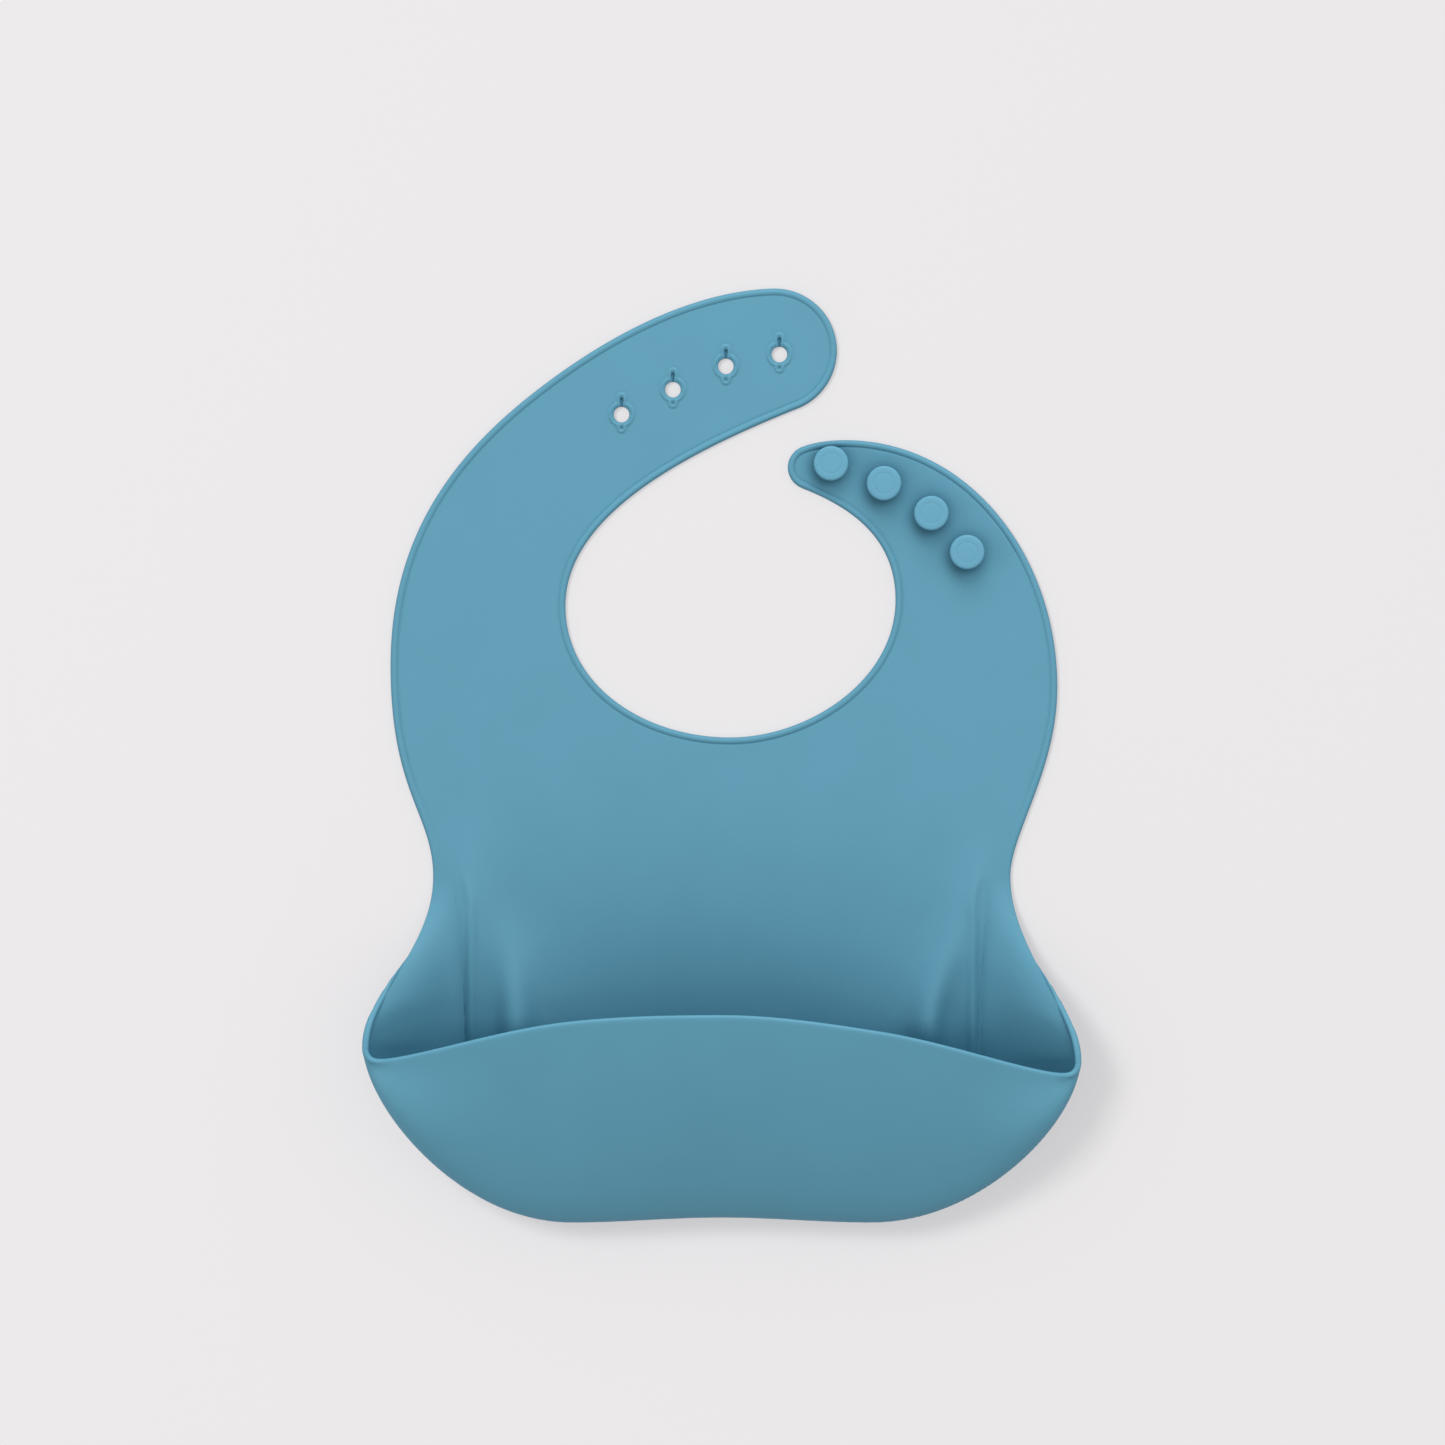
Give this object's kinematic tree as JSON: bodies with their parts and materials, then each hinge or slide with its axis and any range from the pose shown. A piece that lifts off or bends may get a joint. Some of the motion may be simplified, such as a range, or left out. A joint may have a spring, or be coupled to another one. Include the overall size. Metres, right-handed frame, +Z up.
{
  "type": "silicone bib",
  "caption": "Moulded silicone bib with a catch pocket and two neck straps that close with studs in keyhole slots.",
  "frame": {"origin": "on the resting plane, under the middle of the bib's box", "axes": "+X across the bib, towards the strap with the studs; +Y from the pocket towards the neck; +Z up from the table, out of the bib's front"},
  "size_m": [0.2304, 0.3, 0.044],
  "materials": {
    "silicone": "matte dusty blue silicone with a fine moulded grain",
    "stud_silicone": "matte dusty blue silicone, slightly paler on the flat head"
  },
  "bodies": {
    "pocket": {"pocket_back": "silicone", "left_gusset": "silicone", "right_gusset": "silicone"},
    "pocket_front": {"pocket_front": "silicone"},
    "chest": {"chest_panel": "silicone"},
    "hole_strap_root": {"hole_strap_root": "silicone"},
    "hole_strap_middle": {"hole_strap_middle": "silicone"},
    "hole_strap_end": {"hole_strap_end": "silicone"},
    "stud_strap_root": {"stud_strap_root": "silicone", "stud_3": "stud_silicone", "stud_4": "stud_silicone"},
    "stud_strap_end": {"stud_strap_end": "silicone", "stud_1": "stud_silicone", "stud_2": "stud_silicone"}
  },
  "joints": [
    {"name": "waist_fold", "type": "hinge", "parent": "pocket", "child": "chest", "pos_m": [0, -0.03, 0.002], "axis": [1, 0, 0], "range_deg": [0, 60], "stiffness_Nm_per_rad": 0.01},
    {"name": "pocket_front_swing", "type": "hinge", "parent": "pocket", "child": "pocket_front", "pos_m": [0, -0.148, 0.016], "axis": [1, 0, 0], "range_deg": [-28, 25], "stiffness_Nm_per_rad": 0.15, "springref_deg": 2.86},
    {"name": "hole_strap_fold_1", "type": "hinge", "parent": "chest", "child": "hole_strap_root", "pos_m": [-0.077, 0.05, 0.002], "axis": [1, 0, 0], "range_deg": [0, 40], "stiffness_Nm_per_rad": 0.004},
    {"name": "hole_strap_fold_2", "type": "hinge", "parent": "hole_strap_root", "child": "hole_strap_middle", "pos_m": [-0.0584, 0.093, 0.002], "axis": [0.8192, -0.5736, 0], "range_deg": [0, 40], "stiffness_Nm_per_rad": 0.004},
    {"name": "hole_strap_fold_3", "type": "hinge", "parent": "hole_strap_middle", "child": "hole_strap_end", "pos_m": [-0.0259, 0.1181, 0.002], "axis": [0.3907, -0.9205, 0], "range_deg": [0, 40], "stiffness_Nm_per_rad": 0.004},
    {"name": "stud_strap_fold_1", "type": "hinge", "parent": "chest", "child": "stud_strap_root", "pos_m": [0.08, 0.05, 0.002], "axis": [1, 0, 0], "range_deg": [0, 40], "stiffness_Nm_per_rad": 0.004},
    {"name": "stud_strap_fold_2", "type": "hinge", "parent": "stud_strap_root", "child": "stud_strap_end", "pos_m": [0.0584, 0.082, 0.002], "axis": [0.866, 0.5, 0], "range_deg": [0, 40], "stiffness_Nm_per_rad": 0.004}
  ],
  "couplings": [
    {"joint": "hole_strap_fold_2", "follows": "hole_strap_fold_1", "ratio": 1},
    {"joint": "hole_strap_fold_3", "follows": "hole_strap_fold_1", "ratio": 1},
    {"joint": "stud_strap_fold_2", "follows": "stud_strap_fold_1", "ratio": 1}
  ]
}
